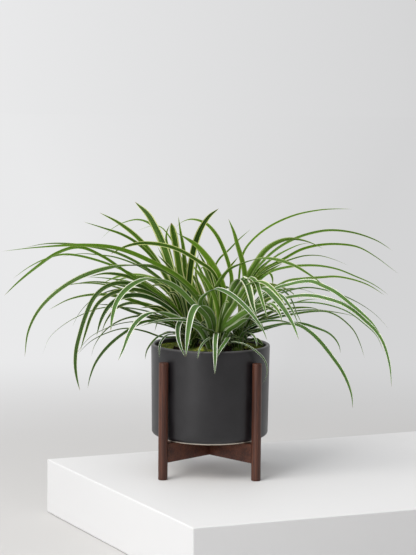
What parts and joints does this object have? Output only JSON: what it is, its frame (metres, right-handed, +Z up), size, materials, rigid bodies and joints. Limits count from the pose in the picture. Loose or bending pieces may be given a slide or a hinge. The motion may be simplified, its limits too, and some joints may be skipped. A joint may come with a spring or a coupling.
{
  "type": "potted spider plant",
  "caption": "Spider plant with arching cream-edged leaves in a matt charcoal ceramic pot, carried by a dark wooden stand with round legs and crossed bars.",
  "frame": {"origin": "on the floor under the pot's axis, midway between the legs", "axes": "+X to the plant's right as the picture shows it, +Y away from the viewer, +Z up"},
  "size_m": [0.6792, 0.357, 0.4584],
  "materials": {
    "glaze": "matte",
    "soil": "matte",
    "moss": "matte",
    "leaf": "satin",
    "wood": "satin"
  },
  "bodies": {
    "root": {"pot": "glaze", "soil": "soil", "moss": "moss", "rosette_front": "leaf", "rosette_left": "leaf", "rosette_right": "leaf", "rosette_back": "leaf", "leg_front_left": "wood", "leg_front_right": "wood", "leg_back_left": "wood", "leg_back_right": "wood", "bar_lower_notch": "wood", "bar_upper_notch": "wood"}
  },
  "joints": []
}
